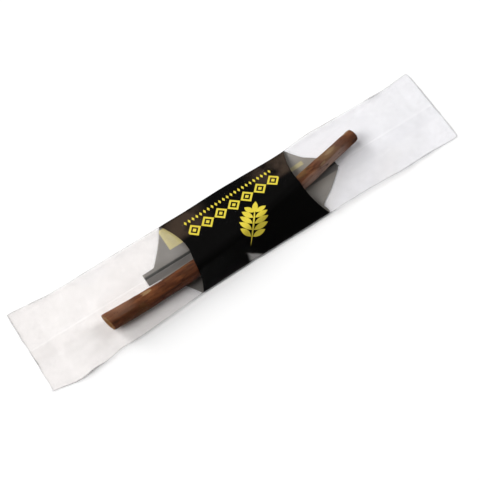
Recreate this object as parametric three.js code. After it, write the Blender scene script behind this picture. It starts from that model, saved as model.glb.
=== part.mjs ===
// A licorice root stick sealed in a clear flow-wrapped film packet with a printed band.
// Millimetres. +X runs along the packet, +Y across it, +Z up; the packet lies on its back at z = 0.
import * as THREE from "three";

// Layers. Film and ink are drawn thicker than the real ones, so that each is a solid.
const FILM = 0.2; // film thickness
const INK = 0.1; // print layer on the film's inner face
const CLEAR = 0.15; // air between two separate pieces
const SLIT = 0.1; // slit between film layers that are welded together in the real packet

// Packet outline: half widths at the band, and how far the edges swell away from them.
const LENGTH = 220;
const SEAL = 10; // length of the flat seal at each end
const HALF_UPPER = 18.3;
const HALF_LOWER = 19.1;
const END_FLARE = { upper: 2, lower: 1.3, reach: 22 };
const UPPER_SWELLS = [
  { at: 5, spread: 20, by: 0.5 },
  { at: 50, spread: 11, by: 1.3 },
  { at: 74, spread: 19, by: 1.25 },
];
const LOWER_SWELLS = [
  { at: -97, spread: 9, by: 3 },
  { at: -84, spread: 6.5, by: 1.7 },
  { at: -66, spread: 25, by: 2 },
  { at: 83, spread: 19, by: 1 },
];
const FOLD_RADIUS = 0.6; // of the side folds, at mid film, where the packet is open
const FOLD_CLOSES = { from: 58, to: LENGTH / 2 - SEAL };

// Fin seal: both edges of the web, welded and folded flat under the back.
const FIN_WIDTH = 7;
const FIN_ROOT = 0.3; // width of the fold that joins the fin to the back

// Printed band: its ends are parabolas across the web, with a tab beside the fin. The left tab is
// square; the right one is straight near the fin and then tapers back to the parabola.
const BAND = { left: -32.3, right: 36.9, bow: 5.2 };
const BAND_LOBE = { at: -0.3, spread: 0.35, by: 1.6 }; // the left end reaches further over the root
const TAB = { left: -50.8, right: 54, halfWidth: 2.9, straight: 2, taper: 1.35 };
const BAND_SLIT = 0.02; // share of a back panel left bare beside the fin

// Root: a tapered stick with one gentle bend, cut a little aslant at both ends.
const ROOT = { left: -75, right: 67.4, radiusLeft: 4.5, radiusRight: 3.65 };
const ROOT_Y = -9.85;
const BEND = { at: -13.2, slope: 0.2, spread: 15 };
const TAIL = { from: -40, curve: 0.0006 }; // the left end turns back a little
const CUT = { left: { perY: -0.23, perZ: 0.09 }, right: { perY: -0.2, perZ: 0 } }; // slants, in x
const FLUTES = { count: 5, depth: 0.035, oval: 0.03, turns: 0.35 }; // shares of the radius

const { lerp, clamp, smoothstep } = THREE.MathUtils;
const bump = (x, { at, spread, by }) => by * Math.exp(-(((x - at) / spread) ** 2));
const swelling = (x, bumps) => bumps.reduce((sum, each) => sum + bump(x, each), 0);

const BACK_Z = FILM + SLIT + FILM / 2; // the back panel's mid film, above the folded fin
const STACK = FILM / 2 + CLEAR + INK + CLEAR; // from mid film to the root's skin
const FLAT_FOLD = (FILM + SLIT) / 2; // fold radius where the packet is pressed flat

const rootRadius = (x) =>
  lerp(ROOT.radiusLeft, ROOT.radiusRight, (x - ROOT.left) / (ROOT.right - ROOT.left));

// The root's middle line across the packet: a straight run that turns into a slope.
function rootY(x) {
  const turn = BEND.spread * Math.log(1 + Math.exp((x - BEND.at) / BEND.spread));
  return ROOT_Y + BEND.slope * turn + TAIL.curve * Math.max(0, TAIL.from - x) ** 2;
}

const rootZ = (x) => BACK_Z + STACK + rootRadius(x);

const endFlare = (x) => smoothstep(Math.abs(x), LENGTH / 2 - END_FLARE.reach, LENGTH / 2);
const upperEdge = (x) => HALF_UPPER + END_FLARE.upper * endFlare(x) + swelling(x, UPPER_SWELLS);
const lowerEdge = (x) => -(HALF_LOWER + END_FLARE.lower * endFlare(x) + swelling(x, LOWER_SWELLS));

// The three circles that the film is drawn tight around at x: two folds, and the root between them.
// Past the root's ends the middle circle shrinks evenly until it is as flat as the folds.
function circles(x) {
  const fold = lerp(FOLD_RADIUS, FLAT_FOLD, smoothstep(Math.abs(x), FOLD_CLOSES.from, FOLD_CLOSES.to));
  const near = clamp(x, ROOT.left, ROOT.right);
  const fade = clamp((FOLD_CLOSES.to - Math.abs(x)) / (FOLD_CLOSES.to - Math.abs(near)), 0, 1);
  const ridge = Math.max(fold, lerp(fold, rootRadius(near) + STACK, fade));
  return {
    lower: { y: lowerEdge(x) + FILM / 2 + fold, z: BACK_Z + fold, r: fold },
    ridge: { y: rootY(near) * fade, z: BACK_Z + ridge, r: ridge },
    upper: { y: upperEdge(x) - FILM / 2 - fold, z: BACK_Z + fold, r: fold },
  };
}

// Angle of the outward normal on the upper line that touches both circles.
function tangentAngle(a, b) {
  const apart = Math.hypot(b.y - a.y, b.z - a.z);
  return Math.atan2(b.z - a.z, b.y - a.y) + Math.acos(clamp((a.r - b.r) / apart, -1, 1));
}

const arc = (c, from, to) => ({
  long: c.r * Math.abs(to - from),
  at: (t) => {
    const angle = lerp(from, to, t);
    const n = { y: Math.cos(angle), z: Math.sin(angle) };
    return { y: c.y + c.r * n.y, z: c.z + c.r * n.z, n };
  },
});

function line(a, b, angle) {
  const n = { y: Math.cos(angle), z: Math.sin(angle) };
  const ends = [a, b].map((c) => ({ y: c.y + c.r * n.y, z: c.z + c.r * n.z }));
  return {
    long: Math.hypot(ends[1].y - ends[0].y, ends[1].z - ends[0].z),
    at: (t) => ({ y: lerp(ends[0].y, ends[1].y, t), z: lerp(ends[0].z, ends[1].z, t), n }),
  };
}

// The point at a share of a path's whole length.
function along(path, share) {
  let left = share * path.reduce((sum, piece) => sum + piece.long, 0);
  for (const piece of path.slice(0, -1)) {
    if (left <= piece.long) return piece.at(piece.long ? left / piece.long : 0);
    left -= piece.long;
  }
  const last = path[path.length - 1];
  return last.at(last.long ? clamp(left / last.long, 0, 1) : 0);
}

// A point of the web at station x, moved out by `out` from mid film. The coordinate `across` is -1 at
// the lower fold, 0 in the middle of the front and 1 at the upper fold, and the back runs on from each
// fold to the fin at -2 and 2.
function web(x, across, out) {
  const { lower, ridge, upper } = circles(x);
  const finFoot = { y: 0, z: BACK_Z, r: 0 };
  const rise = tangentAngle(lower, ridge);
  const fall = tangentAngle(ridge, upper);
  let p;
  if (Math.abs(across) <= 1) {
    const front = [
      arc(lower, Math.PI, rise),
      line(lower, ridge, rise),
      arc(ridge, rise, fall),
      line(ridge, upper, fall),
      arc(upper, fall, 0),
    ];
    p = along(front, (across + 1) / 2);
  } else if (across > 0) {
    p = along([arc(upper, 0, -Math.PI / 2), line(upper, finFoot, -Math.PI / 2)], across - 1);
  } else {
    p = along([arc(lower, Math.PI, 1.5 * Math.PI), line(lower, finFoot, -Math.PI / 2)], -across - 1);
  }
  return new THREE.Vector3(x, p.y + out * p.n.y, p.z + out * p.n.z);
}

// Joins rows of points into an indexed geometry; `faces` holds triples of indices.
function solid(points, faces) {
  const geometry = new THREE.BufferGeometry().setFromPoints(points);
  geometry.setIndex(faces.flat());
  geometry.computeVertexNormals();
  return geometry;
}

// The two triangles of a quad.
const quad = (a, b, c, d) => [
  [a, b, c],
  [a, c, d],
];

// The skin between consecutive closed rings of equal length, each starting at its own index.
function skin(ringStarts, count, flip) {
  const faces = [];
  for (let j = 0; j + 1 < ringStarts.length; j++) {
    for (let i = 0; i < count; i++) {
      const k = (i + 1) % count;
      const [here, next] = [ringStarts[j], ringStarts[j + 1]];
      const [a, b, c, d] = [here + i, here + k, next + k, next + i];
      faces.push(...(flip ? quad(a, b, c, d) : quad(a, d, c, b)));
    }
  }
  return faces;
}

const steps = (from, to, count) => Array.from({ length: count + 1 }, (_, i) => lerp(from, to, i / count));

const FRONT_STEPS = 22;
const front = steps(-1, 1, FRONT_STEPS);
const upperBack = [1.025, 1.05, 1.3, 1.6];
const lowerBack = upperBack.map((v) => -v).reverse();

// The whole film web: a tube open by a slit at both ends, with the fin folded flat beneath it.
function wrapperFilm() {
  const stations = steps(-LENGTH / 2, LENGTH / 2, LENGTH / 5);
  const underside = BACK_Z - FILM / 2;
  const fin = [
    [FIN_ROOT, underside],
    [FIN_ROOT, 0],
    [-FIN_WIDTH, 0],
    [-FIN_WIDTH, FILM],
    [0, FILM],
    [0, underside],
  ];
  const points = [];
  const outerStarts = [];
  const innerStarts = [];
  const outerRing = (x) => [
    ...[...front, ...upperBack].map((v) => web(x, v, FILM / 2)),
    ...fin.map(([y, z]) => new THREE.Vector3(x, y, z)),
    ...lowerBack.map((v) => web(x, v, FILM / 2)),
  ];
  const innerRing = (x) => [...front, ...upperBack, 2, ...lowerBack].map((v) => web(x, v, -FILM / 2));
  for (const x of stations) {
    outerStarts.push(points.length);
    points.push(...outerRing(x));
    innerStarts.push(points.length);
    points.push(...innerRing(x));
  }
  const outerCount = innerStarts[0] - outerStarts[0];
  const innerCount = outerStarts[1] - innerStarts[0];
  const faces = [...skin(outerStarts, outerCount, false), ...skin(innerStarts, innerCount, true)];
  const upperCount = front.length + upperBack.length;
  faces.push(...filmEnd(outerStarts[0], innerStarts[0], upperCount, true));
  faces.push(...filmEnd(outerStarts.at(-1), innerStarts.at(-1), upperCount, false));
  return solid(points, faces);
}

// One cut end of the film: a strip between the outer and the inner outline, which run point for point
// except at the fin, where six outer points meet one inner point.
function filmEnd(outer, inner, upperCount, flip) {
  const quads = [];
  for (let i = 0; i + 1 < upperCount; i++) quads.push([outer + i, outer + i + 1, inner + i + 1, inner + i]);
  const upper = outer + upperCount - 1;
  const fin = steps(1, 6, 5).map((i) => upper + i);
  const lower = upper + 7;
  const middle = inner + upperCount;
  quads.push([upper, fin[0], middle, middle - 1], [fin[5], lower, middle + 1, middle]);
  quads.push([fin[0], fin[1], fin[4], fin[5]], [fin[1], fin[2], fin[3], fin[4]]);
  for (let i = 0; i < lowerBack.length; i++) {
    const last = i === lowerBack.length - 1;
    quads.push([lower + i, last ? outer : lower + i + 1, last ? inner : middle + i + 2, middle + i + 1]);
  }
  const faces = [...quads.flatMap((q) => quad(...q)), [fin[0], fin[5], middle]];
  return flip ? faces : faces.map(([a, b, c]) => [a, c, b]);
}

// How far the print reaches along X at a place across the web, at its two ends.
function bandEnds(across) {
  const fromFin = (2 - Math.abs(across)) * HALF_LOWER;
  const bow = BAND.bow * (across ** 2 - 1);
  return {
    left: fromFin < TAB.halfWidth ? TAB.left : BAND.left - bow - bump(across, BAND_LOBE),
    right: Math.max(BAND.right + bow, TAB.right - TAB.taper * Math.max(0, fromFin - TAB.straight)),
  };
}

// The ink: a thin band round the inside of the web, open along the fin and at both ends.
function printedBand() {
  const STATIONS = 16;
  const lastBare = 2 - BAND_SLIT;
  const tabEdge = 2 - TAB.halfWidth / HALF_LOWER;
  const back = [1.025, 1.05, 1.3, 1.5, tabEdge - 0.01, tabEdge + 0.01, 1.9, lastBare];
  const across = [...back.map((v) => -v).reverse(), ...front, ...back];
  const outer = -(FILM / 2 + CLEAR);
  const points = [];
  const starts = [];
  const shares = steps(0, 1, STATIONS);
  for (const share of shares) {
    starts.push(points.length);
    const layer = (out) => across.map((v) => web(lerp(bandEnds(v).left, bandEnds(v).right, share), v, out));
    points.push(...layer(outer), ...layer(outer - INK).reverse());
  }
  const count = 2 * across.length;
  const faces = skin(starts, count, false);
  // The two end faces join each outer point to the inner point beneath it.
  for (const [start, flip] of [
    [starts[0], true],
    [starts[STATIONS], false],
  ]) {
    for (let i = 0; i + 1 < across.length; i++) {
      const [a, b, c, d] = [start + i, start + i + 1, start + count - 2 - i, start + count - 1 - i];
      faces.push(...(flip ? quad(a, b, c, d) : quad(a, d, c, b)));
    }
  }
  return solid(points, faces);
}

// The root: rings of a fluted, slightly oval section along the bent middle line, with a cut face at
// each end. The flutes only cut into the nominal circle, so the film still clears it.
function licoriceRoot() {
  const SIDES = 20;
  const STATIONS = 36;
  const points = [];
  const starts = [];
  for (const share of steps(0, 1, STATIONS)) {
    starts.push(points.length);
    for (let i = 0; i < SIDES; i++) {
      const angle = (2 * Math.PI * i) / SIDES;
      const radius = lerp(ROOT.radiusLeft, ROOT.radiusRight, share);
      const slant = ({ perY, perZ }) => radius * (perY * Math.cos(angle) + perZ * Math.sin(angle));
      const x = lerp(ROOT.left + slant(CUT.left), ROOT.right + slant(CUT.right), share);
      const twist = 2 * Math.PI * FLUTES.turns * share;
      const flute = FLUTES.depth * (0.5 - 0.5 * Math.cos(FLUTES.count * angle + twist));
      const oval = FLUTES.oval * (0.5 - 0.5 * Math.cos(2 * angle - twist));
      const r = rootRadius(x) * (1 - flute - oval);
      points.push(new THREE.Vector3(x, rootY(x) + r * Math.cos(angle), rootZ(x) + r * Math.sin(angle)));
    }
  }
  const faces = skin(starts, SIDES, true);
  for (const [start, flip] of [
    [starts[0], false],
    [starts[STATIONS], true],
  ]) {
    const middle = points.length;
    const rim = points.slice(start, start + SIDES);
    points.push(rim.reduce((sum, p) => sum.add(p), new THREE.Vector3()).divideScalar(SIDES));
    for (let i = 0; i < SIDES; i++) {
      const k = start + ((i + 1) % SIDES);
      faces.push(flip ? [middle, start + i, k] : [middle, k, start + i]);
    }
  }
  return solid(points, faces);
}

const finish = {
  bark: { color: 0x5a3728, roughness: 0.85, metalness: 0 },
  film: { color: 0xf0ebee, roughness: 0.2, metalness: 0, transparent: true, opacity: 0.3 },
  print: { color: 0x050505, roughness: 0.3, metalness: 0 },
};

function piece(name, geometry, look) {
  const mesh = new THREE.Mesh(geometry, new THREE.MeshStandardMaterial(look));
  mesh.name = name;
  return mesh;
}

const packet = new THREE.Group();
packet.add(
  piece("licorice_root", licoriceRoot(), finish.bark),
  piece("wrapper_film", wrapperFilm(), finish.film),
  piece("printed_band", printedBand(), finish.print),
);

// The origin is under the middle of the packet's box, and the lower edge swells more than the upper.
const box = new THREE.Box3().setFromObject(packet);
packet.position.y = -(box.min.y + box.max.y) / 2;

export default packet;
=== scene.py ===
"""A licorice root stick sealed in a clear film packet with a printed band.

Lengths are millimetres until a mesh is made. A place on the film web is (x, across): x runs along the
packet, and across is -1 at the lower fold, 0 in the middle of the front, 1 at the upper fold and -2 and 2
at the fin under the back.
"""

import bpy
import numpy as np
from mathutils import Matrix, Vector


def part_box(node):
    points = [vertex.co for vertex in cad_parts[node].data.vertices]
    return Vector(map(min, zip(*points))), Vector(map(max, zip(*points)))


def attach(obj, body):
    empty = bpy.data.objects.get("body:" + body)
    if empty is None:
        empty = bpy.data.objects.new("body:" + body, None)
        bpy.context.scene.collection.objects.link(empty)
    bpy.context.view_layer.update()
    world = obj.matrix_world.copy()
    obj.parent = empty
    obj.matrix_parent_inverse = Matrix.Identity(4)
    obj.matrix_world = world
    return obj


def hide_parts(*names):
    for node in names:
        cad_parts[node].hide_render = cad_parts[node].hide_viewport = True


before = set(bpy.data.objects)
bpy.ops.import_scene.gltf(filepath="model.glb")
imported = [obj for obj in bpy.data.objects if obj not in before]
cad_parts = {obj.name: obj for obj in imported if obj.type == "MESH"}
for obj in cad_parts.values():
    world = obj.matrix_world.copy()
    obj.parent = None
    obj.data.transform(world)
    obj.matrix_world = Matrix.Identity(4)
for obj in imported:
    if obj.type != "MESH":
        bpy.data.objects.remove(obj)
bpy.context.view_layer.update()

MM = 0.001
PI = np.pi

# The packet, as the solids have it. A bell is (where, how wide, how high).
FILM = 0.2
INK = 0.1
CLEAR = 0.15
SLIT = 0.1
HALF_LENGTH = 110.0
SEAL = 10.0
HALF_UPPER = 18.3
HALF_LOWER = 19.1
UPPER_FLARE = 2.0
LOWER_FLARE = 1.3
FLARE_REACH = 22.0
UPPER_SWELLS = ((5, 20, 0.5), (50, 11, 1.3), (74, 19, 1.25))
LOWER_SWELLS = ((-97, 9, 3.0), (-84, 6.5, 1.7), (-66, 25, 2.0), (83, 19, 1.0))
FOLD_RADIUS = 0.6
FOLD_OPEN = 58.0
FOLD_SHUT = HALF_LENGTH - SEAL  # where the folds are flat and the seals begin
FIN_WIDTH = 7.0
BACK_Z = FILM + SLIT + FILM / 2  # the back's mid film, above the folded fin
STACK = FILM / 2 + CLEAR + INK + CLEAR  # from mid film to the root's skin

# The print on it.
BAND_LEFT = -32.3
BAND_RIGHT = 36.9
BAND_BOW = 5.2
BAND_LOBE = (-0.3, 0.35, 1.6)  # the left end reaches further over the root: a bell over the place across
TAB_LEFT = -50.8
TAB_RIGHT = 54.0
TAB_HALF = 2.9
TAB_STRAIGHT = 2.0
TAB_TAPER = 1.35

# The root. The slant of a cut is x per y, and x per z.
ROOT_LEFT = -75.0
ROOT_RIGHT = 67.4
RADIUS_LEFT = 4.5
RADIUS_RIGHT = 3.65
ROOT_Y = -9.85
BEND_AT, BEND_SLOPE, BEND_SPREAD = -13.2, 0.2, 15.0
TAIL_FROM, TAIL_CURVE = -40.0, 0.0006
CUT_LEFT = (-0.23, 0.09)
CUT_RIGHT = (-0.2, 0.0)
FLUTES, FLUTE_DEPTH, OVAL, FLUTE_TURNS = 5, 0.035, 0.03, 0.35

# What the solids leave to these looks: real thicknesses, with the ink just inside the film.
SHEET = 0.04
INK_SHEET = 0.03
INK_DEPTH = 0.06
FRONT_MM = 22.2  # length of the web from the middle of the front to a fold
BACK_MM = 18.7  # and from a fold to the fin
NEAR_FOLD = np.array([0.008, 0.018, 0.03, 0.045, 0.07])  # places across, counted from a fold
FIN_LAYERS = (0.05, 0.17)  # height of the fin's lower layer and of the one that lies on it
AT_FIN = 1.985  # place across where the back has come down to the fin
FIN_TURN = 0.11  # length of film in the small turn where the upper layer leaves the back
TURN_RADIUS = 0.035
FIN_OFFSET = 0.06  # how far the lower layer leaves the back from the fin's middle
SEAL_PRESS = 0.115  # how far each side of the packet is pressed in at the seals
SEAL_DROP = 0.24  # and how far the back is then pressed down towards the fin
RIB_PITCH, RIB_HEIGHT = 1.25, 0.05
PINCH = (-4.6, 2.0)  # a dent in the lower fold: where, and how wide
PRINT_NOTCH = (13.5, 2.4, 3.0)  # a bay in the print's right end on the lower back: a bell, from the fin
FLOOR_PALE = 0.94

# The packet's own middle line lies a little off the frame's, because its lower edge swells more.
web_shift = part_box("wrapper_film")[1].y / MM - (HALF_UPPER + UPPER_FLARE)


# ---------------------------------------------------------------- shapes


def lerp(a, b, t):
    return a + (b - a) * t


def ease(x, low, high):
    """Rises smoothly from 0 at low to 1 at high."""
    t = np.clip((x - low) / (high - low), 0.0, 1.0)
    return t * t * (3 - 2 * t)


def bump(x, at, spread, by=1.0):
    """A bell of height by around at."""
    return by * np.exp(-(((x - at) / spread) ** 2))


def root_radius(x):
    """Straight taper between the two ends."""
    return lerp(RADIUS_LEFT, RADIUS_RIGHT, (x - ROOT_LEFT) / (ROOT_RIGHT - ROOT_LEFT))


def root_y(x):
    """Middle line across the packet: a straight run that turns into a slope, its left end turned back."""
    turn = BEND_SPREAD * np.log1p(np.exp((x - BEND_AT) / BEND_SPREAD))
    return ROOT_Y + BEND_SLOPE * turn + TAIL_CURVE * np.maximum(0.0, TAIL_FROM - x) ** 2


def root_z(x):
    """Middle line's height: the root lies on the ink, the film and the fin."""
    return BACK_Z + STACK + root_radius(x)


def edge(x, half_width, flare, swells):
    """How far one edge lies from the middle: steady, flared at the ends, with bell-shaped swellings."""
    wider = flare * ease(abs(x), HALF_LENGTH - FLARE_REACH, HALF_LENGTH)
    return half_width + wider + sum(bump(x, *swell) for swell in swells)


def upper_edge(x):
    """The packet's edge towards +Y."""
    return edge(x, HALF_UPPER, UPPER_FLARE, UPPER_SWELLS)


def lower_edge(x):
    """And the one towards -Y."""
    return -edge(x, HALF_LOWER, LOWER_FLARE, LOWER_SWELLS)


def circles(x):
    """The lower fold, the root and the upper fold at x, each as (y, z, radius). The film is drawn tight
    round the three. Past the root's ends the middle circle shrinks evenly until it is as flat as a fold."""
    fold = lerp(FOLD_RADIUS, (FILM + SLIT) / 2, ease(abs(x), FOLD_OPEN, FOLD_SHUT))
    near = np.clip(x, ROOT_LEFT, ROOT_RIGHT)
    fade = np.clip((FOLD_SHUT - abs(x)) / (FOLD_SHUT - abs(near)), 0.0, 1.0)
    ridge = np.maximum(fold, lerp(fold, root_radius(near) + STACK, fade))
    return (
        (lower_edge(x) + FILM / 2 + fold, BACK_Z + fold, fold),
        (root_y(near) * fade, BACK_Z + ridge, ridge),
        (upper_edge(x) - FILM / 2 - fold, BACK_Z + fold, fold),
    )


def touch_angle(a, b):
    """Angle of the outward normal on the upper line that touches circles a and b."""
    dy, dz = b[0] - a[0], b[1] - a[1]
    return np.arctan2(dz, dy) + np.arccos(np.clip((a[2] - b[2]) / np.hypot(dy, dz), -1.0, 1.0))


def follow(stretches, share):
    """Point and outward normal's angle at a share of a path's length. Each stretch is (circle, circle,
    angle, angle): it slides from one circle to the other while its normal turns, so an arc and a straight
    line that touches both circles are the same formula."""
    lengths = []
    for a, b, start, end in stretches:
        slide_y = b[0] - a[0] + (b[2] - a[2]) * np.cos(start)
        slide_z = b[1] - a[1] + (b[2] - a[2]) * np.sin(start)
        lengths.append(a[2] * abs(end - start) + np.hypot(slide_y, slide_z))
    walked = share * sum(lengths)
    y = z = angle = 0.0
    passed = 0.0
    for (a, b, start, end), length in zip(stretches, lengths):
        t = np.clip((walked - passed) / np.maximum(length, 1e-9), 0.0, 1.0)
        here = walked >= passed
        turn = lerp(start, end, t)
        radius = lerp(a[2], b[2], t)
        y = np.where(here, lerp(a[0], b[0], t) + radius * np.cos(turn), y)
        z = np.where(here, lerp(a[1], b[1], t) + radius * np.sin(turn), z)
        angle = np.where(here, turn, angle)
        passed = passed + length
    return y, z, angle


def web(x, across, out=0.0):
    """A point of the web, moved out from mid film along its normal."""
    x, across = np.broadcast_arrays(np.asarray(x, float), np.asarray(across, float))
    lower, ridge, upper = circles(x)
    foot = (np.zeros_like(x), np.full_like(x, BACK_Z), np.zeros_like(x))
    rise, fall = touch_angle(lower, ridge), touch_angle(ridge, upper)
    front = [
        (lower, lower, PI, rise),
        (lower, ridge, rise, rise),
        (ridge, ridge, rise, fall),
        (ridge, upper, fall, fall),
        (upper, upper, fall, 0.0),
    ]
    over_back = [(upper, upper, 0.0, -PI / 2), (upper, foot, -PI / 2, -PI / 2)]
    under_back = [(lower, lower, PI, 1.5 * PI), (lower, foot, 1.5 * PI, 1.5 * PI)]
    sides = (
        follow(front, np.clip((across + 1) / 2, 0, 1)),
        follow(over_back, np.clip(across - 1, 0, 1)),
        follow(under_back, np.clip(-across - 1, 0, 1)),
    )
    pick = [abs(across) <= 1, across > 1]
    y, z, angle = (np.select(pick, [sides[0][k], sides[1][k]], sides[2][k]) for k in range(3))
    return np.stack([x, y + out * np.cos(angle) + web_shift, z + out * np.sin(angle)], axis=-1)


# ---------------------------------------------------------------- creases in the film


def crease(x, s, at, heading, reach, width, height):
    """One straight crease: a ridge with two flat flanks, highest at its middle and fading to its ends.
    at is (x, s) on the unrolled web, heading its angle from +X in degrees, and s = across * FRONT_MM."""
    turn = np.radians(heading)
    along = (x - at[0]) * np.cos(turn) + (s - at[1]) * np.sin(turn)
    aside = (s - at[1]) * np.cos(turn) - (x - at[0]) * np.sin(turn)
    fade = np.clip(1 - (along / reach) ** 2, 0.0, 1.0)
    return height * fade * np.maximum(0.0, 1 - np.sqrt(aside**2 + 0.02) / (width * (0.35 + 0.65 * fade)))


FANNED_FOLDS, PLEATS, BUCKLES = 9, 15, 26
LIFTED_FACET = {"at": (41.5, -18.0), "heading": 62, "reach": 7.5, "width": 3.4, "height": 0.9}
SAG = (1.6, 0.25)  # the deepest that the film may sink: where it hangs free, and over the root
ON_ROOT = 0.22  # and how far it settles on the root
BACK_WAVE = 0.16


def creases(x, across):
    """How far the film stands off its tight shape, in mm: slow waves where it is slack, tension folds,
    pleats and buckles, and one lifted facet beside the band's lower right corner."""
    s = across * FRONT_MM
    slack = 0.1 + 0.9 * ease(abs(x), 60, 84)
    unsealed = 1 - ease(abs(x), FOLD_SHUT - 5, FOLD_SHUT + 0.5)
    wave = 0.42 * np.sin(x / 6.1 + 0.16 * s + 1.1) * np.sin(s / 5.2 - x / 21 + 0.6)
    wave = wave + 0.22 * np.sin(x / 3.7 - s / 4.1 + 2.0) + 0.12 * np.sin(x / 2.3 + s / 2.9)
    off = wave * slack * unsealed
    rng = np.random.default_rng(7)
    for side, last in ((-1, ROOT_LEFT), (1, ROOT_RIGHT)):
        # Tension folds that fan out from the root's end towards the seal.
        start_s = float(root_y(last)) * 1.15
        for seal_s in np.linspace(-19, 19, FANNED_FOLDS) + rng.uniform(-1.6, 1.6, FANNED_FOLDS):
            tip = np.array([side * (FOLD_SHUT + 1), seal_s])
            middle = (np.array([last, start_s]) + tip) / 2 + rng.uniform(-1, 1, 2)
            heading = np.degrees(np.arctan2(seal_s - start_s, tip[0] - last))
            height = rng.uniform(0.25, 0.75) * rng.choice([-0.7, 1.0])
            reach, width = rng.uniform(11, 15), rng.uniform(1.4, 2.6)
            off = off + crease(x, s, middle, heading, reach, width, height)
        # Short pleats that run out of the seal.
        for pleat_s in np.linspace(-20, 20, PLEATS) + rng.uniform(-0.9, 0.9, PLEATS):
            height = rng.uniform(0.1, 0.3) * rng.choice([-1, 1])
            heading, reach, width = rng.uniform(-12, 12), rng.uniform(4, 8), rng.uniform(0.9, 1.5)
            off = off + crease(x, s, (side * (FOLD_SHUT - 2), pleat_s), heading, reach, width, height)
    # Soft buckles beside the root, between the folds and the ridge, and hardly any under the print.
    half_band = (BAND_RIGHT - BAND_LEFT) / 2
    from_band = abs(x - (BAND_LEFT + BAND_RIGHT) / 2) - half_band
    calm = 1 - 0.8 * ease(-from_band, -1.4, 3.6)
    for _ in range(BUCKLES):
        at = (rng.uniform(-72, 66), rng.choice([-1, 1]) * rng.uniform(6, 21))
        height = rng.uniform(0.08, 0.28) * rng.choice([-1, 1]) * calm
        heading, reach, width = rng.uniform(-50, 50), rng.uniform(4, 11), rng.uniform(1.2, 2.6)
        off = off + crease(x, s, at, heading, reach, width, height)
    return off + crease(x, s, **LIFTED_FACET)


def stand_off(x, across):
    """The film's place over its tight shape: creased on the front, nearly flat on the back, pressed
    together and ribbed in the end seals, and always clear of the root and of the packet's other side."""
    x, across = np.broadcast_arrays(np.asarray(x, float), np.asarray(across, float))
    lower, ridge, upper = circles(x)
    height = web(x, np.clip(across, -1, 1))[..., 2] - BACK_Z
    is_front = 1 - ease(abs(across), 0.98, 1.04)
    over_root = bump(across, (ridge[0] - lower[0]) / (upper[0] - lower[0]) * 2 - 1, 0.42)
    lowest = -np.minimum(0.3 * height, lerp(*SAG, over_root))
    front = np.maximum(creases(x, across), lowest) - ON_ROOT * over_root * (1 - ease(abs(x), 66, 80))
    back = -BACK_WAVE * (0.5 + 0.5 * np.sin(x / 7.3 + across * 5))
    back = back * (1 - ease(abs(x), FOLD_SHUT - 6, FOLD_SHUT))
    sealed = ease(abs(x), FOLD_SHUT - 0.6, FOLD_SHUT + 0.6)
    into_seal = abs(x) - FOLD_SHUT
    ribbed = ease(into_seal, 0, 0.8) * (1 - ease(into_seal, SEAL - 1.2, SEAL - 0.6))
    ribs = RIB_HEIGHT * np.sin(2 * PI * into_seal / RIB_PITCH) * ribbed
    pressed = ribs * np.where(abs(across) <= 1, 1.0, -1.0) - SEAL_PRESS * sealed
    return lerp(back, front, is_front) * (1 - sealed) + pressed


def level(across):
    """How far up the packet a place across lies, -1 at the lower fold and 1 at the upper one, on the front,
    on the back and in the fin."""
    size = abs(across)
    fin = (2 - size) * BACK_MM / HALF_LOWER
    return np.where(size <= 1, across, np.where(size <= 2, np.sign(across) * (2 - size), fin))


def end_line(x, across):
    """x with the grid stretched along the packet, because the cut ends aren't quite straight: the left one
    steps out at its middle, the right one is bowed with worn corners, and both waver."""
    up = level(across)
    left = -0.2 - 0.35 * ease(up, -0.2, 0.45) + 0.09 * np.sin(up * 14)
    right = 0.5 - 0.2 * up**2 - 0.7 * bump(abs(up), 1.0, 0.05) + 0.06 * np.sin(up * 17)
    return x + ease(-x, 70, HALF_LENGTH) * left + ease(x, 70, HALF_LENGTH) * right


def film_sheet(x, across, out=0.0):
    """The creased web, with the fin beyond across = 2 and -2. Near the fin both halves of the back come
    down to it: the upper half runs on towards -Y as the fin's lower layer, and the lower half turns back
    under itself as the layer on top of that. The end seals are pressed down on the fin."""
    x, across = np.broadcast_arrays(x, across)
    points = web(x, np.clip(across, -2, 2), stand_off(x, across) + out)
    is_upper = across > 0
    beyond = np.maximum(0.0, abs(across) - 2) * BACK_MM
    near_fin = ease(abs(across), 1.72, AT_FIN)
    lower_layer, upper_layer = FIN_LAYERS
    turn = np.clip(beyond / FIN_TURN, 0.0, 1.0) * PI
    straight = FIN_OFFSET - beyond * (1 - FIN_TURN / FIN_WIDTH)
    turned = TURN_RADIUS * np.sin(turn) - np.maximum(0.0, beyond - FIN_TURN)
    points[..., 1] += np.where(is_upper, straight, turned)
    foot_height = np.where(is_upper, lower_layer, upper_layer + 2 * TURN_RADIUS)
    over_turn = upper_layer + out + TURN_RADIUS * (1 + np.cos(turn))
    fin_height = np.where(is_upper, lower_layer - out, over_turn)
    points[..., 2] = np.where(beyond > 0, fin_height, lerp(points[..., 2], foot_height, near_fin))
    points[..., 2] -= SEAL_DROP * ease(abs(x), FOLD_SHUT - 3, FOLD_SHUT + 0.5) * (1 - near_fin)
    pinch = bump(x, *PINCH) * ease(-across, 0.62, 0.98) * (across > -1.06)
    points[..., 1] += 0.4 * pinch
    points[..., 2] -= 0.5 * pinch * ease(points[..., 2], 0.9, 3)
    points[..., 0] = end_line(x, across)
    return points


# ---------------------------------------------------------------- meshes


def grid_quads(rows, columns, closed=False):
    """Quads of a grid of points stored row by row; closed joins the last column to the first."""
    a = np.arange(rows - 1)[:, None] * columns
    b = np.arange(columns if closed else columns - 1)[None, :]
    c = (b + 1) % columns
    return np.stack([a + b, a + columns + b, a + columns + c, a + c], axis=-1).reshape(-1, 4)


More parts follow.
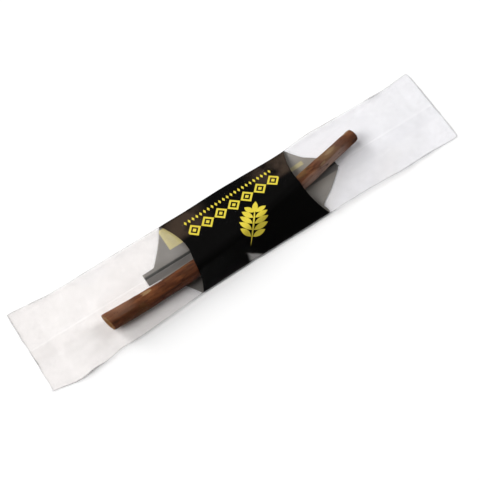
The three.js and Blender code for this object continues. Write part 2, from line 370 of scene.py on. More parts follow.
def make_mesh(name, points, faces, materials, slots=None, uv=None, values=None):
    """A smooth mesh at the origin from points in mm and a list of face arrays, each of one face size.
    uv holds one pair per point, values one number per point for each named attribute."""
    mesh = bpy.data.meshes.new(name)
    faces = [np.asarray(f) for f in faces if len(f)]
    corners = np.concatenate([f.ravel() for f in faces]).astype(np.int32)
    sizes = np.concatenate([np.full(len(f), f.shape[1]) for f in faces])
    mesh.vertices.add(len(points))
    mesh.loops.add(len(corners))
    mesh.polygons.add(len(sizes))
    mesh.vertices.foreach_set("co", (points * MM).astype(np.float32).ravel())
    mesh.polygons.foreach_set("loop_start", (np.cumsum(sizes) - sizes).astype(np.int32))
    mesh.polygons.foreach_set("vertices", corners)
    for material in materials:
        mesh.materials.append(material)
    if slots is not None:
        mesh.polygons.foreach_set("material_index", np.asarray(slots, np.int32))
    if uv is not None:
        mesh.uv_layers.new(name="web").data.foreach_set("uv", uv[corners].astype(np.float32).ravel())
    for key, numbers in (values or {}).items():
        attribute = mesh.attributes.new(key, "FLOAT", "POINT")
        attribute.data.foreach_set("value", numbers.astype(np.float32).ravel())
    mesh.update(calc_edges=True)
    mesh.validate()
    mesh.shade_smooth()
    piece = bpy.data.objects.new(name, mesh)
    bpy.context.scene.collection.objects.link(piece)
    return piece


def normals_of(points):
    """Unit normals of a grid of points, from the cross product of its two directions."""
    across = np.gradient(points, axis=1)
    along = np.gradient(points, axis=0)
    normal = np.cross(along, across)
    return normal / np.maximum(np.linalg.norm(normal, axis=-1, keepdims=True), 1e-12)


def shell(name, points, thickness, materials, uv, inner_slot=0, values=None):
    """A closed thin sheet: the grid moved half a thickness each way along its normals, joined round its
    rim. The inner side may have a material slot of its own."""
    rows, columns = points.shape[:2]
    half = normals_of(points) * thickness / 2
    both = np.concatenate([(points + half).reshape(-1, 3), (points - half).reshape(-1, 3)])
    count = rows * columns
    outer = grid_quads(rows, columns)
    inner = outer[:, ::-1] + count
    index = np.arange(count).reshape(rows, columns)
    rim = np.concatenate([index[0, :-1], index[:-1, -1], index[-1, :0:-1], index[:0:-1, 0]])
    ahead = np.roll(rim, -1)
    wall = np.stack([rim, ahead, ahead + count, rim + count], axis=-1)
    slots = np.concatenate([np.zeros(len(outer)), np.full(len(inner), inner_slot), np.zeros(len(wall))])
    doubled = {key: np.concatenate([numbers.ravel()] * 2) for key, numbers in (values or {}).items()}
    faces, both_uv = [outer, inner, wall], np.concatenate([uv, uv])
    return make_mesh(name, both, faces, materials, slots, both_uv, doubled)


def web_uv(x, across):
    """The unrolled web as a UV map: u is x in units of 100 mm, v is the place across."""
    x, across = np.broadcast_arrays(x, across)
    return np.stack([x / 100, across], axis=-1).reshape(-1, 2)


# ---------------------------------------------------------------- materials


class Value:
    """A node's output that works in arithmetic: each operator adds a Math node."""

    def __init__(self, paint, socket):
        self.paint, self.socket = paint, socket

    def math(self, operation, *others):
        return self.paint.node("Math", {"operation": operation}, dict(enumerate((self, *others))))

    def __add__(self, other):
        return self.math("ADD", other)

    def __sub__(self, other):
        return self.math("SUBTRACT", other)

    def __rsub__(self, other):
        return self.paint.node("Math", {"operation": "SUBTRACT"}, {0: other, 1: self})

    def __mul__(self, other):
        return self.math("MULTIPLY", other)

    def __truediv__(self, other):
        return self.math("DIVIDE", other)

    def __pow__(self, other):
        return self.math("POWER", other)

    __radd__ = __add__
    __rmul__ = __mul__

    def __abs__(self):
        return self.math("ABSOLUTE")

    def at_least(self, other):
        return self.math("MAXIMUM", other)

    def at_most(self, other):
        return self.math("MINIMUM", other)

    def rises(self, low, high):
        """0 below low, 1 above high, smooth between; falls where low is above high."""
        if low > high:
            return 1 - self.rises(high, low)
        ends = {"From Min": low, "From Max": high}
        return self.paint.node("MapRange", {"interpolation_type": "SMOOTHSTEP"}, {"Value": self, **ends})


class Paint:
    """One material's node tree."""

    def __init__(self, name):
        self.material = bpy.data.materials.new(name)
        self.material.use_nodes = True
        self.tree = self.material.node_tree
        self.tree.nodes.clear()

    def node(self, kind, settings=None, inputs=None, output=0):
        """Adds a node, sets its settings (stops fills a ramp), then its sockets, and returns one output."""
        node = self.tree.nodes.new("ShaderNode" + kind)
        for key, value in (settings or {}).items():
            if key == "stops":
                ramp = node.color_ramp.elements
                while len(ramp) < len(value):
                    ramp.new(0.5)
                for element, (place, colour) in zip(ramp, value):
                    element.position, element.color = place, (*colour, 1)
            else:
                setattr(node, key, value)
        for key, value in (inputs or {}).items():
            socket = node.inputs[key]
            if isinstance(value, Value):
                self.tree.links.new(value.socket, socket)
            elif socket.type == "RGBA":
                socket.default_value = (*value, 1)
            else:
                socket.default_value = value
        return Value(self, node.outputs[output])

    def place(self, stretch=(1, 1, 1), turn=(0, 0, 0)):
        """Object coordinates in millimetres, stretched and turned."""
        scale = [1000 * k for k in stretch]
        spot = self.node("TexCoord", output="Object")
        return self.node("Mapping", {}, {"Vector": spot, "Scale": scale, "Rotation": turn})

    def noise(self, where, size, detail=3.0, rough=0.5):
        """Fractal noise of about 0 to 1 with blobs of this size."""
        inputs = {"Vector": where, "Scale": 1 / size, "Detail": detail, "Roughness": rough}
        return self.node("TexNoise", {}, inputs)

    def mix(self, share, a, b, blend="MIX"):
        """Two colours by a share."""
        settings = {"data_type": "RGBA", "blend_type": blend}
        return self.node("Mix", settings, {0: share, 6: a, 7: b}, output=2)

    def attribute(self, name):
        """A value stored at the mesh's points."""
        return self.node("Attribute", {"attribute_name": name}, output="Fac")

    def web_place(self):
        """x in mm and the place across, from the unrolled web."""
        uv = self.node("UVMap", {"uv_map": "web"})
        return self.node("SeparateXYZ", {}, {0: uv}) * 100, self.node("SeparateXYZ", {}, {0: uv}, output=1)

    def bump(self, height, depth_mm, normal=None):
        """A normal that shows relief of this depth, on top of another normal."""
        inputs = {"Height": height, "Distance": depth_mm * MM, "Strength": 1.0}
        if normal is not None:
            inputs["Normal"] = normal
        return self.node("Bump", {}, inputs)

    def finish(self, shader):
        """Joins the shader to the output and returns the material."""
        output = self.tree.nodes.new("ShaderNodeOutputMaterial")
        self.tree.links.new(shader.socket, output.inputs["Surface"])
        return self.material


def clear_film():
    """Clear film: a faint tint that drifts from cream at the left to lilac at the right, a milky haze where
    it hangs loose, a painted grey line of shade where it is folded or cut, standing in for the darker look
    of film seen edge-on there, and a plastic gloss that grows at a glancing angle. The fin's two extra
    layers are clearer, because they lie pressed together."""
    p = Paint("clear_film")
    x, across = p.web_place()
    spot = p.place()
    drift = (p.noise(spot, 26, 2.0) - x / 260).rises(0.2, 0.8)
    lilac = p.node("BsdfTransparent", {}, {"Color": (0.992, 0.992, 0.996)})
    cream = p.node("BsdfTransparent", {}, {"Color": (0.995, 0.991, 0.989)})
    body = p.node("MixShader", {}, {0: drift, 1: lilac, 2: cream})
    pressed = abs(across).rises(AT_FIN, 2.0)
    bare = p.node("BsdfTransparent", {}, {"Color": (0.998, 0.998, 0.998)})
    body = p.node("MixShader", {}, {0: pressed * 0.85, 1: body, 2: bare})
    loose = (1 - p.attribute("cling")) * (1 - pressed)
    cloud = p.noise(spot, 9, 3.0, 0.6).rises(0.3, 0.75)
    scuffs = p.noise(p.place((0.35, 1, 1), (0, 0, 0.4)), 2.2, 4.0, 0.65).rises(0.6, 0.8)
    milk = p.node("BsdfPrincipled", {}, {"Base Color": (0.84, 0.83, 0.83), "Roughness": 0.6})
    haze = loose * (0.03 + 0.035 * cloud + 0.03 * scuffs)
    body = p.node("MixShader", {}, {0: haze, 1: body, 2: milk})
    # Painted shade: a grey line along the folds and the cut ends stands in for the darker look of film seen
    # edge-on there.
    fold_line = abs(abs(across) - 1).rises(0.024, 0.008) * (0.2 + 0.35 * scuffs.at_least(cloud))
    cut_line = abs(x).rises(HALF_LENGTH - 0.5, HALF_LENGTH - 0.2) * (0.06 + 0.24 * cloud)
    grey = p.node("BsdfPrincipled", {}, {"Base Color": (0.38, 0.38, 0.38), "Roughness": 0.5})
    body = p.node("MixShader", {}, {0: fold_line.at_least(cut_line), 1: body, 2: grey})
    ripple = p.bump(p.noise(spot, 3.5, 2.0), 0.05)
    gloss_inputs = {"Base Color": (1, 1, 1), "Metallic": 1.0, "Roughness": 0.3, "Normal": ripple}
    gloss = p.node("BsdfPrincipled", {}, gloss_inputs)
    glance = p.node("LayerWeight", {}, {"Blend": 0.5, "Normal": ripple}, output="Facing")
    mirror = (0.004 + 0.45 * glance**5) * (1 - pressed * 0.8)
    return p.finish(p.node("MixShader", {}, {0: mirror, 1: body, 2: gloss}))


def lens_mask(x, s, at, turn, length, width):
    """1 inside a pointed oval with its middle at a place and its axis turned, where
    1 - (along / length)^2 - |aside| / width is above 0."""
    cosine, sine = float(np.cos(turn)), float(np.sin(turn))
    along = (x - at[0]) * cosine + (s - at[1]) * sine
    aside = (s - at[1]) * cosine - (x - at[0]) * sine
    inside = 1 - (along / length) ** 2 - abs(aside) / width
    return inside.rises(-0.06, 0.1)


ROW_MIDDLE, LOZENGES, LOZENGE_PITCH, LOZENGE_LINE = 1.3, 7, 7.2, 9.0  # lines and places in mm on the web
DOT_PITCH, DOT_LINE = 2.1, 15.2
SPRIG_FOOT, SPRIG_TILT = np.array([-2.9, -14.4]), 0.95
LEAF_HALVES, LEAF_WIDTH, LEAF_SPREAD = (3.4, 3.9, 3.8, 3.4, 2.8), 1.35, 0.98


def from_nearest(x, pitch, middle):
    """Distance from the nearest of a row of places that are a pitch apart, one of them at middle."""
    far_left = 200 * pitch
    return (x - middle + far_left + pitch / 2).math("MODULO", pitch) - pitch / 2


def arrow(angle):
    """Unit step at an angle from +X."""
    return np.array([np.cos(angle), np.sin(angle)])


def print_mask(x, across):
    """The yellow ornament on the front: a row of nested lozenges under a dotted rule, and a leafy sprig."""
    s = across * FRONT_MM
    row_half = LOZENGES * LOZENGE_PITCH / 2
    row = abs(x - ROW_MIDDLE).rises(row_half - 0.4, row_half - 0.8)
    aside = from_nearest(x, LOZENGE_PITCH, ROW_MIDDLE)
    reach = abs(aside) / 3.45 + abs(s - LOZENGE_LINE) / 3.9
    lozenges = reach.rises(1.04, 0.97) * (1 - reach.rises(0.66, 0.59)) + reach.rises(0.34, 0.27)
    dots = abs(from_nearest(x, DOT_PITCH, ROW_MIDDLE)) / 0.62 + abs(s - DOT_LINE) / 1.25
    mask = (lozenges + dots.rises(1.1, 0.9)) * row
    stem = arrow(SPRIG_TILT)
    mask = mask + lens_mask(x, s, SPRIG_FOOT + stem * 9.5, SPRIG_TILT, 10.5, 0.42)
    mask = mask + lens_mask(x, s, SPRIG_FOOT + stem * 19.0, SPRIG_TILT, 3.2, LEAF_WIDTH)
    for pair, half in enumerate(LEAF_HALVES):
        joint = SPRIG_FOOT + stem * (3.4 + 3.1 * pair)
        for turn in (SPRIG_TILT - LEAF_SPREAD, SPRIG_TILT + LEAF_SPREAD):
            mask = mask + lens_mask(x, s, joint + arrow(turn) * (half + 0.5), turn, half, LEAF_WIDTH)
    return mask.at_most(1.0)


def black_ink():
    """The printed face: deep black with a painted brown sheen along the upper side, standing in for the
    lamps' reflection on that slope, a painted light-grey glare at the pinch in the lower fold, and the
    ornament in yellow."""
    p = Paint("black_ink")
    x, across = p.web_place()
    spot = p.place()
    cloud = p.noise(spot, 9, 3.0)
    # Painted sheen: thin marks where the black is painted brown along the upper slope, in place of a
    # reflection there.
    thin = across.rises(0.3, 0.46) * across.rises(1.03, 0.9) * abs(x - 2).rises(9, 21)
    thin = thin * cloud.rises(0.25, 0.6) * 0.85
    black = p.mix(thin, (0.0012, 0.0011, 0.001), (0.05, 0.034, 0.024))
    # Painted highlight: a light-grey patch on the black at the pinch stands in for glare on the dented
    # fold.
    pinch_glare = (abs(x + 4.4 + (across + 0.9) * 14) / 3.9 + abs(across + 0.96) / 0.22).rises(1.05, 0.4)
    black = p.mix(pinch_glare * p.noise(spot, 1.3, 3.0).rises(0.2, 0.5), black, (0.3, 0.295, 0.285))
    gold = p.mix(p.noise(spot, 4, 3.0), (0.58, 0.47, 0.035), (0.68, 0.58, 0.075))
    colour = p.mix(print_mask(x, across), black, gold)
    ripple = p.bump(p.noise(spot, 3.0, 2.0), 0.03)
    inputs = {"Base Color": colour, "Roughness": 0.5, "Specular IOR Level": 0.02, "Normal": ripple}
    return p.finish(p.node("BsdfPrincipled", {}, inputs))


def between(value, low, high, soft):
    """1 between two limits, with a soft step just inside each."""
    return value.rises(low, low + soft) * value.rises(high, high - soft)


def ink_reverse():
    """The unprinted side of the ink: a dull grey, paler towards the right, with a yellow panel and a stripe
    on the upper half of the back, a darker strip beside the fin, and a near black line of painted shadow
    in the seam at its foot."""
    p = Paint("ink_reverse")
    x, across = p.web_place()
    from_fin = (2 - across) * BACK_MM
    panel = between(from_fin, 6.0, 17.2, 0.5) * between(x, -34.2, 33.4, 0.5)
    stripe = between(from_fin, 7.4, 9.9, 0.5) * x.rises(33, 33.5) * x.rises(41.4, 40.4)
    cloud = p.noise(p.place(), 7, 3.0)
    grey = p.mix(cloud, (0.16, 0.148, 0.132), (0.22, 0.205, 0.182))
    grey = p.mix(x.rises(20, 44) * 0.3, grey, (0.4, 0.365, 0.31))
    grey = p.mix((2 + across).rises(0.17, 0.14), grey, (0.125, 0.118, 0.11))
    # Painted shadow: a near black line in the seam where the upper half of the back comes down to the fin.
    grey = p.mix((2 - across).rises(0.09, 0.05), grey, (0.018, 0.018, 0.014))
    straw = p.mix(cloud, (0.55, 0.48, 0.2), (0.66, 0.58, 0.27))
    colour = p.mix(panel + stripe * 0.6, grey, straw)
    inputs = {"Base Color": colour, "Roughness": 0.55, "Specular IOR Level": 0.3}
    return p.finish(p.node("BsdfPrincipled", {}, inputs))


def bark():
    """Dried bark: reddish brown in long irregular blotches, dark in the hollows, olive and dusty here and
    there, paler or darker in broad parts, with painted shade on the side towards -Y and painted light on
    that side near the thin end, greyer towards the thin end, and straw where the bark is gone."""
    p = Paint("root_bark")
    hollow, bare, pale = p.attribute("hollow"), p.attribute("bare"), p.attribute("pale")
    x = p.node("SeparateXYZ", {}, {0: p.place()})
    long_grain = p.place((0.16, 1, 1))
    streak = p.noise(long_grain, 1.1, 5.0, 0.6)
    blotch = p.noise(p.place((0.35, 1, 1)), 4.2, 4.0, 0.6)
    patch = p.noise(p.place((0.6, 1, 1)), 9.0, 3.0, 0.5)
    fleck = p.noise(p.place((0.4, 1, 1)), 0.4, 3.0, 0.6)
    dark_brown, red_brown, tan = (0.028, 0.008, 0.003), (0.105, 0.034, 0.012), (0.25, 0.093, 0.033)
    stops = [(0.3, dark_brown), (0.48, red_brown), (0.7, tan)]
    brown = p.node("ValToRGB", {"stops": stops}, {0: streak * 0.4 + blotch * 0.6})
    olive = p.mix(patch.rises(0.52, 0.66) * 0.7, brown, (0.15, 0.078, 0.024))
    dusty = p.mix(fleck.rises(0.58, 0.78) * 0.35, olive, (0.24, 0.13, 0.075))
    # Painted shade and light: pale darkens the side towards -Y and lifts it near the thin end, beside paler
    # and darker bands.
    paler = p.mix(pale.at_least(0) * (0.5 + 0.4 * blotch), dusty, (0.38, 0.24, 0.17))
    darker = p.mix((pale * -1).at_least(0), paler, (0.5, 0.36, 0.26), "MULTIPLY")
    deep = p.mix(hollow.rises(0.3, 1.0) * 0.75, darker, (0.014, 0.005, 0.003))
    straw = p.mix(streak * 0.5 + fleck * 0.5, (0.15, 0.085, 0.03), (0.38, 0.25, 0.13))
    rubbed = (bare * (0.35 + 1.3 * fleck)).rises(0.3, 0.9) * (0.5 + 0.5 * blotch)
    colour = p.mix(rubbed, deep, straw)
    colour = p.mix(x.rises(0, 50) * 0.5, colour, (0.74, 0.84, 1.1), "MULTIPLY")
    fine = p.bump(p.noise(long_grain, 0.45, 5.0, 0.65), 0.1)
    grain = p.bump(fleck, 0.06, fine)
    rough = 0.62 + streak * 0.25
    inputs = {"Base Color": colour, "Roughness": rough, "Specular IOR Level": 0.12, "Normal": grain}
    return p.finish(p.node("BsdfPrincipled", {}, inputs))


def cut_wood():
    """The cut ends: yellow wood in rays round a darker heart, inside a thin brown rim."""
    p = Paint("cut_wood")
    uv = p.node("UVMap", {"uv_map": "web"})
    around = p.node("SeparateXYZ", {}, {0: uv})
    out = p.node("SeparateXYZ", {}, {0: uv}, output=1)
    rays_at = p.node("CombineXYZ", {}, {0: around * 40, 1: out * 3})
    rays = p.noise(rays_at, 1.0, 3.0, 0.6)
    pores = p.noise(p.place(), 0.28, 3.0, 0.7)
    wood = p.mix(rays * 0.6 + pores * 0.4, (0.06, 0.022, 0.004), (0.23, 0.105, 0.026))
    heart = p.mix(out.rises(0.22, 0.08) * 0.6, wood, (0.12, 0.05, 0.015))
    colour = p.mix(out.rises(0.84, 0.97), heart, (0.05, 0.02, 0.01))
    grain = p.bump(pores * 0.6 + rays * 0.4, 0.25)
    inputs = {"Base Color": colour, "Roughness": 0.85, "Specular IOR Level": 0.2, "Normal": grain}
    return p.finish(p.node("BsdfPrincipled", {}, inputs))


def fibre_straw():
    """Loose wood fibres, here brown and there pale."""
    p = Paint("wood_fibre")
    tone = p.noise(p.place((0.2, 1, 1)), 0.8, 2.0)
    colour = p.mix(tone, (0.28, 0.15, 0.05), (0.6, 0.44, 0.24))
    return p.finish(p.node("BsdfPrincipled", {}, {"Base Color": colour, "Roughness": 0.8}))


def floor_paint():
    """Plain matt studio floor with the faintest unevenness."""
    p = Paint("studio_floor")
    colour = p.mix(p.noise(p.place(), 90, 2.0), (0.93, 0.93, 0.93), (0.95, 0.95, 0.95))
    return p.finish(p.node("BsdfPrincipled", {}, {"Base Color": colour, "Roughness": 0.9}))


# ---------------------------------------------------------------- the root


CRACKS, KNOTS = 46, 60
RADIUS_AT_KNOTS = 4.0
BARE_PATCHES = (  # bark rubbed off: (x, angle, half length, half turn)
    (52.5, 1.25, 3.2, 0.30),
    (-54.5, 0.95, 2.6, 0.34),
    (46.5, 1.9, 1.8, 0.16),
    (-20.0, 2.2, 2.5, 0.25),
    (64.6, 0.55, 3.4, 0.34),
)


def waves(x, angle, turns, lengths, count, rng):
    """A random field that closes round the stick, of about -2 to 2: a sum of cosines with a whole number of
    waves round it and long waves along it."""
    field = 0.0
    for _ in range(count):
        hand = rng.choice([-1, 1])
        waves_round, length, phase = rng.integers(*turns), rng.uniform(*lengths), rng.uniform(0, 2 * PI)
        field = field + np.cos(waves_round * angle + hand * 2 * PI * x / length + phase)
    return field / np.sqrt(count / 2)


def turn_from(angle, about):
    """Angle from a direction round the stick, between -pi and pi."""
    return np.angle(np.exp(1j * (angle - about)))


def valleys(field, width):
    """1 along the lines where a field crosses zero, falling to 0 where it reaches this width."""
    return np.maximum(0, 1 - abs(field) / width) ** 1.5


def painted_shade_and_tone(x, angle, coarse):
    """How much paler, above 0, or darker, below 0, broad parts of the bark are. The side towards -Y is
    darkened with painted shade, but on a stretch near the thin end it is painted paler instead, as painted
    light, and that stretch is a little paler all round. Round the rest lie a paler and two darker bands."""
    # Painted light and shade: dusty marks a stretch near the thin end where the -Y side is painted paler,
    # and side marks that side, painted darker elsewhere.
    dusty = ease(x, 22, 40) - ease(x, 56, 64)
    side = ease(-np.cos(angle) + 0.1 * coarse, 0.25, 0.9)
    bands = 0.3 * bump(x, -66, 8) - 0.65 * bump(x, -44, 13) - 0.45 * bump(x, 30, 12)
    return side * (dusty - 0.9 * (1 - ease(x, 0, 30))) + 0.2 * dusty + bands * (1 - side)


def bark_relief(x, angle):
    """How far the skin lies inside the nominal circle, in mm, and how hollow, how bare and how pale it is.
    The flutes and the oval are the solid's. On them lie long wrinkles, where a random field crosses zero,
    cross cracks, knots and rubbed patches."""
    twist = 2 * PI * FLUTE_TURNS * (x - ROOT_LEFT) / (ROOT_RIGHT - ROOT_LEFT)
    flute = FLUTE_DEPTH * (0.5 - 0.5 * np.cos(FLUTES * angle + twist))
    oval = OVAL * (0.5 - 0.5 * np.cos(2 * angle - twist))
    rng = np.random.default_rng(11)
    coarse = waves(x, angle, (3, 9), (22, 80), 14, rng)
    middle = waves(x, angle, (7, 17), (9, 40), 18, rng)
    fine = waves(x, angle, (16, 34), (5, 22), 22, rng)
    strength = ease(waves(x, angle, (1, 4), (12, 50), 8, rng), -1.4, 1.2)
    groove = valleys(coarse, 0.34) * (0.35 + 0.65 * strength)
    groove = np.maximum(groove, valleys(middle, 0.3) * (0.8 - 0.5 * strength))
    hair = valleys(fine, 0.4)
    cracks = np.zeros_like(x + angle)
    for _ in range(CRACKS):
        at, about = rng.uniform(ROOT_LEFT + 2, ROOT_RIGHT - 2), rng.uniform(0, 2 * PI)
        width, span, slant = rng.uniform(0.12, 0.28), rng.uniform(0.15, 0.6), rng.uniform(-0.5, 0.5)
        turn = turn_from(angle, about)
        across = bump(x - slant * turn + 0.15 * np.sin(9 * angle + at), at, width)
        cracks = np.maximum(cracks, across * bump(turn, 0, span) * rng.uniform(0.4, 1))
    knots = np.zeros_like(cracks)
    for _ in range(KNOTS):
        at, about = rng.uniform(ROOT_LEFT + 1, ROOT_RIGHT - 1), rng.uniform(0, 2 * PI)
        size = rng.uniform(0.25, 0.6)
        aside = turn_from(angle, about) * RADIUS_AT_KNOTS
        knots = np.maximum(knots, bump(x, at, 1.6 * size) * bump(aside, 0, size))
    bare = np.zeros_like(cracks)
    ragged = 1 + 0.3 * middle + 0.25 * fine
    for at, about, half, sweep in BARE_PATCHES:
        from_middle = ((x - at) / half) ** 2 + (turn_from(angle, about) / sweep) ** 2
        bare = np.maximum(bare, ease(ragged - from_middle, -0.15, 0.5))
    depth = 0.22 * groove + 0.07 * hair + 0.14 * cracks - 0.09 * knots
    depth = depth * (1 - 0.6 * bare) + 0.12 * bare
    swell = 0.10 * (1 + np.sin(x / 8.7 + 0.8)) + 0.05 * (1 + np.sin(x / 3.9 + 2 * angle))
    inside = root_radius(x) * (flute + oval) + np.maximum(depth + swell, 0.0)
    hollow = np.clip(1.0 * groove + 0.45 * hair + 0.7 * cracks - 0.35 * knots, 0, 1) * (1 - bare)
    return inside, hollow, bare, painted_shade_and_tone(x, angle, coarse)


def root_skin(share, angle):
    """Points of the skin, with how hollow, bare and pale each is. Stations are slanted at both ends, so
    that the end rings lie in the two cut faces, and the rims are worn round."""
    radius = lerp(RADIUS_LEFT, RADIUS_RIGHT, share)
    aside, lift = radius * np.cos(angle), radius * np.sin(angle)
    left, right = (cut[0] * aside + cut[1] * lift for cut in (CUT_LEFT, CUT_RIGHT))
    x = lerp(ROOT_LEFT + left, ROOT_RIGHT + right, share)
    relief, *looks = bark_relief(x, angle)
    worn = 0.18 * np.maximum(bump(share, 0, 0.004), bump(share, 1, 0.004))
    radius = root_radius(x) - relief - worn
    y = root_y(x) + radius * np.cos(angle) + web_shift
    z = root_z(x) + radius * np.sin(angle)
    return np.stack([x, y, z], axis=-1), looks


def make_root(skin_material, wood_material):
    """The skin as one grid round and along the stick, closed by a disc of rings in each cut face. A disc is
    the end ring drawn in to its middle, roughened along X and a little hollow at the heart."""
    around, along, rings = 132, 600, 12
    heart_depth = 0.25
    angle = np.linspace(0, 2 * PI, around, endpoint=False)[None, :]
    share = np.linspace(0, 1, along)[:, None]
    skin, looks = root_skin(share, angle)
    points = [skin.reshape(-1, 3)]
    faces = [grid_quads(along, around, closed=True)[:, ::-1]]
    slots = [np.zeros(len(faces[0]))]
    uv = [np.stack(np.broadcast_arrays(angle / (2 * PI), share), axis=-1).reshape(-1, 2)]
    looks = [look.ravel() for look in looks]
    count = along * around
    rng = np.random.default_rng(5)
    for rim_start, rim, outward in ((0, skin[0], -1), (count - around, skin[-1], 1)):
        middle = rim.mean(0)
        inward = np.linspace(1, 0, rings + 1)[1:-1, None, None]
        disc = middle + (rim[None] - middle) * inward
        rough = rng.normal(0, 0.05, disc.shape[:2]) + 0.08 * np.sin(angle * 9)
        sunk = outward * heart_depth * bump(inward[..., 0], 0, 0.3)
        disc[..., 0] += rough * (1 - inward[..., 0]) - sunk
        start = sum(len(p) for p in points)
        points += [disc.reshape(-1, 3), middle[None] - np.array([[outward * heart_depth, 0, 0]])]
        first = np.arange(around) + rim_start
        rows = np.concatenate([first[None], start + np.arange((rings - 1) * around).reshape(-1, around)])
        ahead = np.roll(rows, -1, axis=1)
        quads = np.stack([rows[:-1], ahead[:-1], ahead[1:], rows[1:]], axis=-1).reshape(-1, 4)
        centre = start + (rings - 1) * around
        fan = np.stack([rows[-1], ahead[-1], np.full(around, centre)], axis=-1)
        faces += [quads if outward > 0 else quads[:, ::-1], fan if outward > 0 else fan[:, ::-1]]
        slots += [np.ones(len(quads)), np.ones(len(fan))]
        turns = np.broadcast_to(angle / (2 * PI), (rings - 1, around))
        outs = np.broadcast_to(inward[..., 0], (rings - 1, around))
        uv += [np.stack([turns, outs], axis=-1).reshape(-1, 2), np.array([[0.5, 0.0]])]
        looks = [np.concatenate([look, np.zeros((rings - 1) * around + 1)]) for look in looks]
    return make_mesh(
        "root_bark",
        np.concatenate(points),
        faces,
        [skin_material, wood_material],
        np.concatenate(slots),
        np.concatenate(uv),
        dict(zip(("hollow", "bare", "pale"), looks)),
    )


def strand(path, width):
    """A tapered thread with a six-sided section along a path of points: its points, sides and end faces."""
    sides = 6
    turn = np.linspace(0, 2 * PI, sides, endpoint=False)
    t = np.linspace(0, 1, len(path))[:, None]
    heading = np.gradient(path, axis=0)
    heading /= np.linalg.norm(heading, axis=1, keepdims=True)
    side = np.cross(heading, [0.0, 0.3, 1.0])
    side /= np.linalg.norm(side, axis=1, keepdims=True)
    lift = np.cross(heading, side)
    radius = width / 2 * (1 - 0.85 * t[:, :, None])
    ring = side[:, None] * np.cos(turn)[None, :, None] + lift[:, None] * np.sin(turn)[None, :, None]
    points = (path[:, None] + ring * radius).reshape(-1, 3)
    caps = [np.arange(sides)[None, ::-1], np.arange(len(points) - sides, len(points))[None]]
    return points, grid_quads(len(path), sides, closed=True)[:, ::-1], caps


def make_fibres(material):
    """Frayed wood fibres that stand out of the two cut faces. Each starts a little inside its face, runs
    outwards and curls away with the square of the way along it."""
    rng = np.random.default_rng(23)
    t = np.linspace(0, 1, 6)[:, None]
    points, quads, caps = [], [], []
    for station, outward, slant, count in ((ROOT_LEFT, -1, CUT_LEFT, 46), (ROOT_RIGHT, 1, CUT_RIGHT, 34)):
        for _ in range(count):
            angle, out = rng.uniform(0, 2 * PI), np.sqrt(rng.uniform(0.25, 0.9))
            aside, lift = out * 0.93 * root_radius(station) * arrow(angle)
            x = station + slant[0] * aside + slant[1] * lift
            start = np.array([x - outward * 0.3, root_y(x) + aside + web_shift, root_z(x) + lift])
            length = rng.uniform(0.3, 0.9)
            reach = length * np.array([outward, rng.uniform(-0.4, 0.4), rng.uniform(-0.4, 0.4)])
            path = start + reach * t + rng.normal(0, 0.25, 3) * t**2
            thread, sides, ends = strand(path, rng.uniform(0.09, 0.2))
            base = sum(len(k) for k in points)
            points.append(thread)
            quads.append(sides + base)
            caps += [end + base for end in ends]
    faces = [np.concatenate(quads), np.concatenate(caps)]
    return make_mesh("wood_fibres", np.concatenate(points), faces, [material])


# ---------------------------------------------------------------- the wrapper


def film_stations():
    """Places along the packet: fine in the ribbed seals, coarser between."""
    ribbed = np.linspace(FOLD_SHUT - 1, HALF_LENGTH, 58)
    between_seals = np.linspace(-FOLD_SHUT + 1, FOLD_SHUT - 1, 250)[1:-1]
    return np.concatenate([-ribbed[::-1], between_seals, ribbed])


def film_places():
    """Places across the web, closer together at the folds and where the fin turns."""
    back = [1 + NEAR_FOLD, np.linspace(1.12, 1.7, 9), np.linspace(1.75, AT_FIN, 8), [2.0]]
    fin = 2 + np.array([0.02, 0.04, 0.06, 0.08, FIN_TURN, 0.5, 2.2, 3.8, 5.4, FIN_WIDTH]) / BACK_MM
    side = np.concatenate([1 - NEAR_FOLD[::-1], [1.0], *back, fin])
    return np.concatenate([-side[::-1], np.linspace(-0.9, 0.9, 58), side])


def cling(x, across):
    """1 where the film lies tight over the root or the print, 0 where it hangs loose."""
    ridge_y = circles(x)[1][0]
    y = web(x, np.clip(across, -1, 1))[..., 1] - web_shift
    near_root = ease(-abs(y - ridge_y), -10.5, -5.5) * (1 - ease(abs(x), 76, 84))
    left, right = band_ends(across)
    printed = ease(x, left - 2.5, left) * ease(-x, -right - 2.5, -right)
    return np.maximum(near_root * (abs(across) <= 1), printed)


def make_film(material):
    """The whole web as one closed sheet, from one end of the fin round to the other."""
    x, across = film_stations()[:, None], film_places()[None, :]
    tight = {"cling": cling(x, across)}
    return shell("clear_wrap", film_sheet(x, across), SHEET, [material], web_uv(x, across), values=tight)


def band_ends(across):
    """Where the print ends: a parabola across the web at each end, and a tab beside the fin, square at the
    left and tapering back to the parabola at the right. The left end reaches further over the root, and
    the right one has a bay on the lower back."""
    from_fin = (2 - abs(across)) * BACK_MM
    bow = BAND_BOW * (across**2 - 1)
    left = np.where(from_fin < TAB_HALF, TAB_LEFT, BAND_LEFT - bow - bump(across, *BAND_LOBE))
    right = np.maximum(BAND_RIGHT + bow, TAB_RIGHT - TAB_TAPER * np.maximum(0.0, from_fin - TAB_STRAIGHT))
    return left, right - np.where(across < -1, bump(from_fin, *PRINT_NOTCH), 0.0)


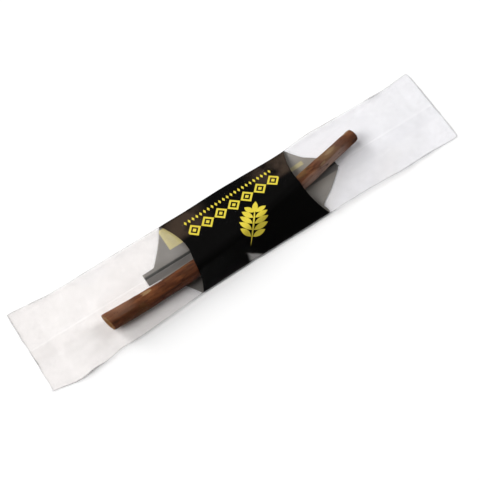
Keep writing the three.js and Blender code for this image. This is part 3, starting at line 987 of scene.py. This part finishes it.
def make_band(front_material, back_material):
    """The ink as a closed thin sheet just inside the film, from one of its ends to the other at every place
    across. At the upper side it runs a little way into the fin."""
    tab_edge = 2 - TAB_HALF / BACK_MM
    back = [1 + NEAR_FOLD, np.linspace(1.12, tab_edge - 0.003, 14), [tab_edge + 0.003, 1.93, AT_FIN, 2.0]]
    side = np.concatenate([1 - NEAR_FOLD[::-1], [1.0], *back])
    in_fin = [2.02, 2.06, 2.1]
    across = np.concatenate([-side[::-1], np.linspace(-0.9, 0.9, 74), side, in_fin])[None, :]
    share = np.linspace(0, 1, 150)[:, None]
    left, right = band_ends(across)
    x = lerp(left, right, share)
    points = film_sheet(x, across, -INK_DEPTH)
    return shell("printed_ink", points, INK_SHEET, [front_material, back_material], web_uv(x, across), 1)


# ---------------------------------------------------------------- stage


def make_stage():
    """A plain pale floor, far wider than the view."""
    half_width = 6000.0
    corners = np.array([[-1, -1, 0], [1, -1, 0], [1, 1, 0], [-1, 1, 0]]) * half_width
    floor = make_mesh("studio_floor", corners, [np.array([[0, 1, 2, 3]])], [floor_paint()])


def soft_sun(name, towards, spread, floor_share, colour=(1, 1, 1)):
    """A far, wide, even light from a direction, its spread in degrees. floor_share is the brightness that
    it gives the floor: strength times the floor's paleness times the height of its direction, over pi."""
    direction = Vector(towards).normalized()
    light = bpy.data.lights.new(name, "SUN")
    light.angle, light.color = np.radians(spread), colour
    light.energy = floor_share * PI / (FLOOR_PALE * direction.z)
    lamp = bpy.data.objects.new(name, light)
    lamp.rotation_euler = direction.to_track_quat("Z", "Y").to_euler()
    bpy.context.scene.collection.objects.link(lamp)


def make_lights():
    """Three wide soft lights from the packet's left, right and upper sides, none where the black band would
    mirror it, in a studio with pale walls and a dark ceiling."""
    soft_sun("key_light", (-0.75, 0.22, 0.63), 36, 0.43, (1, 0.99, 0.98))
    soft_sun("right_light", (0.78, 0.12, 0.62), 32, 0.22, (0.985, 0.99, 1))
    soft_sun("upper_light", (-0.42, 0.78, 0.46), 26, 0.31)
    world = bpy.data.worlds.new("studio")
    bpy.context.scene.world = world
    world.use_nodes = True
    nodes, links = world.node_tree.nodes, world.node_tree.links
    height = nodes.new("ShaderNodeSeparateXYZ")
    walls = nodes.new("ShaderNodeMapRange")
    walls.interpolation_type = "SMOOTHSTEP"
    ends = {"From Min": 0.15, "From Max": 0.45, "To Min": 0.7, "To Max": 0.03}
    for key, value in ends.items():
        walls.inputs[key].default_value = value
    links.new(nodes.new("ShaderNodeTexCoord").outputs["Generated"], height.inputs[0])
    links.new(height.outputs["Z"], walls.inputs["Value"])
    links.new(walls.outputs[0], nodes["Background"].inputs["Strength"])
    nodes["Background"].inputs["Color"].default_value = (1, 1, 1, 1)


def make_camera():
    """Looks down on the packet from near its lower left, from about half a metre, at a place a little off
    the packet's middle. back, right and up are the camera's own axes."""
    azimuth, elevation, distance = np.radians(-33.5), np.radians(69.5), 458.1
    flat, height = np.cos(elevation), np.sin(elevation)
    back = Vector((np.sin(azimuth) * flat, -np.cos(azimuth) * flat, height))
    right = Vector((np.cos(azimuth), np.sin(azimuth), 0))
    up = back.cross(right)
    aim = right * -0.06 + up * -7.45 + Vector((-0.3, -0.45 + web_shift, 0))
    lens = bpy.data.cameras.new("camera")
    lens.lens, lens.sensor_width, lens.clip_end = 75.0, 36.0, 50.0
    camera = bpy.data.objects.new("camera", lens)
    camera.location = (aim + back * distance) * MM
    camera.rotation_euler = back.to_track_quat("Z", "Y").to_euler()
    bpy.context.scene.collection.objects.link(camera)
    bpy.context.scene.camera = camera


make_camera()
make_stage()
make_lights()

root = make_root(bark(), cut_wood())
fibres = make_fibres(fibre_straw())
film = make_film(clear_film())
ink = make_band(black_ink(), ink_reverse())

for piece, slot in ((root, "bark"), (fibres, "bark"), (film, "clear_film"), (ink, "black_ink")):
    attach(piece, "root")
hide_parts("licorice_root")
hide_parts("wrapper_film")
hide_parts("printed_band")

scene = bpy.context.scene
scene.view_settings.view_transform = "Standard"
scene.view_settings.look = "None"
scene.cycles.use_denoising = True
scene.cycles.transparent_max_bounces = 32
